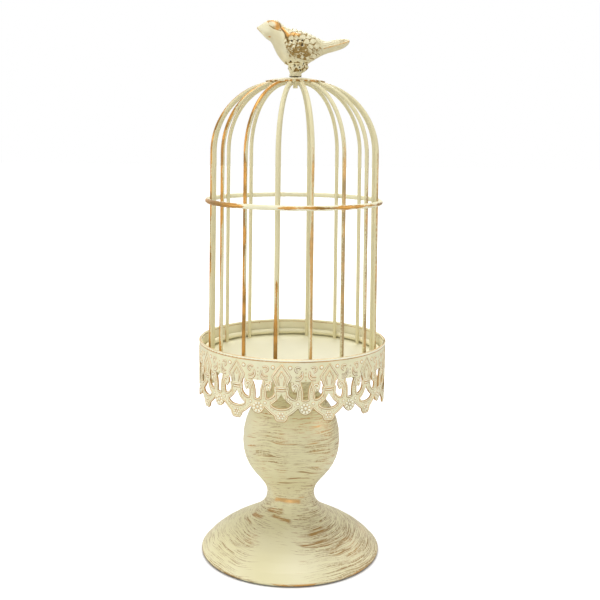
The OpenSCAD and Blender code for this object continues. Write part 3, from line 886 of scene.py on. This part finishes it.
points, faces = [], []
turn = np.linspace(0, 2 * math.pi, 72, endpoint=False)
along, top, low, wide = (column[:, None] for column in smooth_rows(bird_stations, 8).T)
body = np.stack(np.broadcast_arrays(along, wide * np.sin(turn) * (1 - egg_share * np.cos(turn)),
                                    (top + low) / 2 + (top - low) / 2 * np.cos(turn)), axis=-1)
add_skin(points, faces, body)
high, mid_x, half_x, half_y = (column[:, None] for column in smooth_rows(stump_rings, 4).T)
lobes = 1 + 0.07 * np.cos(5 * turn + 0.6) + 0.05 * np.cos(9 * turn + 2 + high)
stump = np.stack(np.broadcast_arrays(mid_x + half_x * lobes * np.cos(turn),
                                     -half_y * lobes * np.sin(turn), high), axis=-1)
add_skin(points, faces, stump[::-1])
high, wide = (column[:, None] for column in np.array(collar_rings).T)
add_skin(points, faces, np.stack(np.broadcast_arrays(wide * np.cos(turn), wide * np.sin(turn), high),
                                 axis=-1))

rough_mesh = bpy.data.meshes.new("bird_blank")
rough_mesh.from_pydata(points, [], faces)
blank = bpy.data.objects.new("bird_blank", rough_mesh)
scene.collection.objects.link(blank)
wrap = blank.modifiers.new("wrap", "REMESH")
wrap.mode = "VOXEL"
wrap.voxel_size = skin_cell
wrapped = blank.evaluated_get(bpy.context.evaluated_depsgraph_get())
bird_mesh = bpy.data.meshes.new_from_object(wrapped)
bpy.data.objects.remove(blank)
bird_mesh.name = "songbird"

count = len(bird_mesh.vertices)
spots = np.empty(count * 3)
bird_mesh.vertices.foreach_get("co", spots)
spots = spots.reshape(-1, 3)
edges = np.empty(len(bird_mesh.edges) * 2, dtype=int)
bird_mesh.edges.foreach_get("vertices", edges)
ends = np.concatenate((edges[0::2], edges[1::2]))
others = np.concatenate((edges[1::2], edges[0::2]))
neighbours = np.bincount(ends, minlength=count)[:, None]
for _ in range(3):
    total = np.stack([np.bincount(ends, spots[others, k], count) for k in range(3)], axis=1)
    spots = 0.4 * spots + 0.6 * total / neighbours
bird_mesh.vertices.foreach_set("co", spots.ravel())
bird_mesh.update()
normals = np.empty(count * 3)
bird_mesh.vertices.foreach_get("normal", normals)
normals = normals.reshape(-1, 3)
bx, by, bz = spots.T


def eased(value, low, high):
    """0 below low, 1 above high and a smooth climb between them."""
    t = np.clip((value - low) / (high - low), 0, 1)
    return t * t * (3 - 2 * t)


side = eased(np.abs(normals[:, 1]), 0.12, 0.5)


def spot_at(x, z, half_long, half_tall, fall=0.0):
    """1 at a place on the bird's flanks, fading over an oval."""
    a = math.radians(fall)
    u = (bx - x) * math.cos(a) - (bz - z) * math.sin(a)
    v = (bx - x) * math.sin(a) + (bz - z) * math.cos(a)
    return np.exp(-(u / half_long) ** 2 - (v / half_tall) ** 2) * side


def line_at(path, width):
    """1 on a line over the bird's flanks, fading over that width."""
    nearest = np.full(count, 9.0)
    for (x0, z0), (x1, z1) in zip(path, path[1:]):
        dx, dz = x1 - x0, z1 - z0
        t = np.clip(((bx - x0) * dx + (bz - z0) * dz) / (dx * dx + dz * dz), 0, 1)
        nearest = np.minimum(nearest, np.hypot(bx - x0 - t * dx, bz - z0 - t * dz))
    return np.exp(-(nearest / width) ** 2) * side


def tiled(along, across, length, width):
    """Feathers laid like tiles: how proud they stand, and where one drops to the next."""
    row = np.floor(along / length)
    part = along / length - row
    shift = across / width + 0.5 * (row % 2)
    q = 2 * (shift - np.round(shift))
    tip = 0.45 + 0.55 * np.sqrt(1 - np.clip(q * q, 0, 1))
    proud = np.where(part < tip, 0.3 + 0.7 * part / tip, 0.3 + 0.7 * (part - 1))
    drop = eased(part - tip, -0.05, 0.1) + eased(np.abs(q), 0.75, 1.0) * 0.6
    return proud, np.clip(drop, 0, 1)


def grain_at(scale, seed):
    """Cloudy noise at every spot of the bird."""
    return np.array([noise.noise(Vector((x * scale + seed, y * scale, z * scale)))
                     for x, y, z in spots.tolist()])


fine, coarse, hazy = grain_at(1.5, 3.0), grain_at(0.62, 17.0), grain_at(0.22, 41.0)
wing_x, wing_z = bx - wing_middle[0], bz - wing_middle[1]
wing_a = wing_x * math.cos(wing_fall) - wing_z * math.sin(wing_fall)
wing_b = wing_x * math.sin(wing_fall) + wing_z * math.cos(wing_fall)
in_wing = 1 - (wing_a / wing_half[0]) ** 2 - (wing_b / wing_half[1]) ** 2
wing = eased(in_wing, 0.0, 0.16) * side
rim = eased(in_wing, -0.12, 0.02) * side - wing
proud, drop = tiled(wing_a + 40 + 0.7 * hazy, wing_b + 1.2 * hazy, *feather_size)
back = eased(bz - 0.4 * np.abs(by), 16, 25) * eased(bx, -7, -3) * (1 - eased(bx, 15, 18)) * (1 - wing)
back_proud, back_drop = tiled(bx + 40.7 + hazy, by + 0.22 * bz + hazy, 2.8, 2.9)
patch = eased(1 - ((bx - 1.2) / 8.6) ** 2 - ((bz - 15.2) / 5.6) ** 2 + 0.5 * hazy, 0.0, 0.5) * side
shoulder = spot_at(-1.4, 25.0, 3.9, 1.9, 8)
crease = line_at([(-10.2, 33.2), (-9.1, 29.6), (-7.1, 27.2), (-6.0, 23.6), (-4.6, 20.8)], 0.62)
mouth = line_at([(-24.9, 30.3), (-20.5, 30.7), (-16.8, 31.0)], 0.34)
brow = line_at([(-18.6, 35.0), (-17.6, 33.0), (-16.8, 31.0)], 0.42)
cheek = line_at([(-16.8, 31.2), (-13.9, 29.2), (-9.4, 27.8)], 0.40)
eye = spot_at(-12.7, 30.6, 1.0, 0.9)
eye_ring = spot_at(-12.7, 30.6, 1.9, 1.7) - eye
pits = sum(spot_at(x, z, 0.62, 0.75) for x, z in
           ((1.4, 21.8), (4.0, 21.8), (4.0, 19.5), (-2.6, 21.4), (-3.2, 8.9), (2.6, 5.9), (3.4, 3.6),
            (-0.4, 6.8), (5.4, 7.9)))
tail = eased(bx, 17, 21) * side
tail_line = line_at([(17.6, 17.4), (26.0, 19.8), (34.2, 22.2)], 0.45)
tail_top = line_at([(17.5, 22.9), (24.0, 23.9), (31.0, 24.3), (34.0, 23.0)], 0.75)
tail_vanes = sum(line_at([(17.0, 17.4 + k), (34.0, 22.2 + 0.35 * k)], 0.3) for k in (1.5, 3.0, 4.3))
on_stump = (1 - eased(bz, 8.2, 10.0)) * eased(bz, 2.4, 3.6)
seam = (1 - eased(bz, 0.25, 0.6)) * eased(coarse + 0.4 * hazy, -0.35, 0.0)
lift = (wing * (0.35 + 0.75 * proud) + back * (0.5 * back_proud - 0.15) + 0.8 * shoulder
        + patch * (0.35 * fine + 0.5 * coarse) - 0.55 * crease - 0.3 * mouth - 0.25 * brow - 0.22 * cheek
        + 0.55 * eye - 0.2 * eye_ring - 0.9 * np.clip(pits, 0, 1) + 0.16 * tail * tail_line
        - 0.2 * tail_vanes + on_stump * (0.55 * coarse + 0.25 * fine) + 0.05 * fine - 0.15 * rim)
# The collar stays nearly smooth
lift *= 1 - 0.8 * (1 - eased(bz, 2.4, 3.2))
for _ in range(2):
    lift = 0.4 * lift + 0.6 * np.bincount(ends, lift[others], count) / neighbours[:, 0]
spots = spots + normals * lift[:, None]
rubbed = (spot_at(-11.3, 30.2, 2.6, 2.3, 20) + spot_at(-1.0, 25.2, 3.5, 1.5, 8)
          + line_at([(-8.3, 29.6), (-6.0, 26.8), (-4.9, 24.6)], 0.9) * 0.9
          + spot_at(-16.5, 24.3, 1.4, 0.6, 10) * 0.9 + tail_top * 0.75 + tail_line * 0.7
          + line_at([(-24.9, 30.0), (-21.5, 26.4), (-18.6, 23.4)], 0.5) * 0.6
          + line_at([(-18.0, 34.0), (-14.6, 34.2), (-11.0, 32.2)], 1.3) * 0.6
          + brow * 0.35 + mouth * 0.35 + wing * eased(proud, 0.75, 1.0) * 0.35 + on_stump * 0.2)
glazed = (crease + cheek * 0.6 + wing * (0.22 + drop * 0.7) + back * (0.1 + back_drop * 0.7)
          + patch * (0.30 + 0.9 * coarse + 0.5 * fine)
          + eye_ring * 0.6 + tail_vanes * 0.35 + on_stump * eased(-coarse, 0.0, 0.3) * 0.7 + rim * 0.3)
pitted = (np.clip(pits, 0, 1) * 0.95 + seam + patch * eased(-coarse - fine, 0.25, 0.6) * 0.45
          + crease * 0.6 + wing * eased(drop, 0.75, 1.0) * 0.3)
# Crown and beak stay inside the casting's outline
beak_corner, crown_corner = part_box("bird_finial")
spots[:, 2] = np.minimum(spots[:, 2] + bird_foot, crown_corner.z / mm - 0.1)
spots[:, 0] = np.maximum(spots[:, 0], beak_corner.x / mm + 0.05)
bird_mesh.vertices.foreach_set("co", (spots * mm).ravel())
for name, values in (("rubbed", rubbed), ("glazed", glazed), ("pitted", pitted)):
    layer = bird_mesh.attributes.new(name, "FLOAT", "POINT")
    layer.data.foreach_set("value", np.clip(values, 0, 1.5))
for polygon in bird_mesh.polygons:
    polygon.use_smooth = True
bird_mesh.update()

bird_paint, start, shader = new_finish("bird_paint")
place = start.node("TexCoord", None, None, "Object")
rub = place.noise(420, 3, 0.6)
fleck = place.noise(1500, 2)
masks = {name: start.node("Attribute", {"attribute_name": name}, None, "Fac")
         for name in ("rubbed", "glazed", "pitted")}
gold = (masks["rubbed"] + rub * 0.9).rise(0.74, 1.3)
brown = (masks["glazed"] + rub * 0.9 + fleck * 0.25).rise(0.74, 1.16)
deep = (masks["pitted"] + rub * 0.5).rise(0.62, 0.95)
base = place.noise(120, 1).rise(0.3, 0.7).tint(chart(219, 209, 170), chart(234, 227, 192))
colour = deep.tint(gold.tint(brown.tint(base, chart(150, 122, 64)), chart(198, 146, 74)),
                   chart(62, 50, 30))
colour.into(shader, "Base Color")
(0.36 + brown * 0.12).into(shader, "Roughness")
(gold * 0.35).into(shader, "Metallic")
shader.inputs["Specular IOR Level"].default_value = satin_gloss
(rub + fleck * 0.3).bump(shader, 0.4, 0.00015)
bird_mesh.materials.clear()
bird_mesh.materials.append(bird_paint)
songbird = bpy.data.objects.new("songbird", bird_mesh)
scene.collection.objects.link(songbird)
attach(songbird, "finial")
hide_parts("bird_finial")
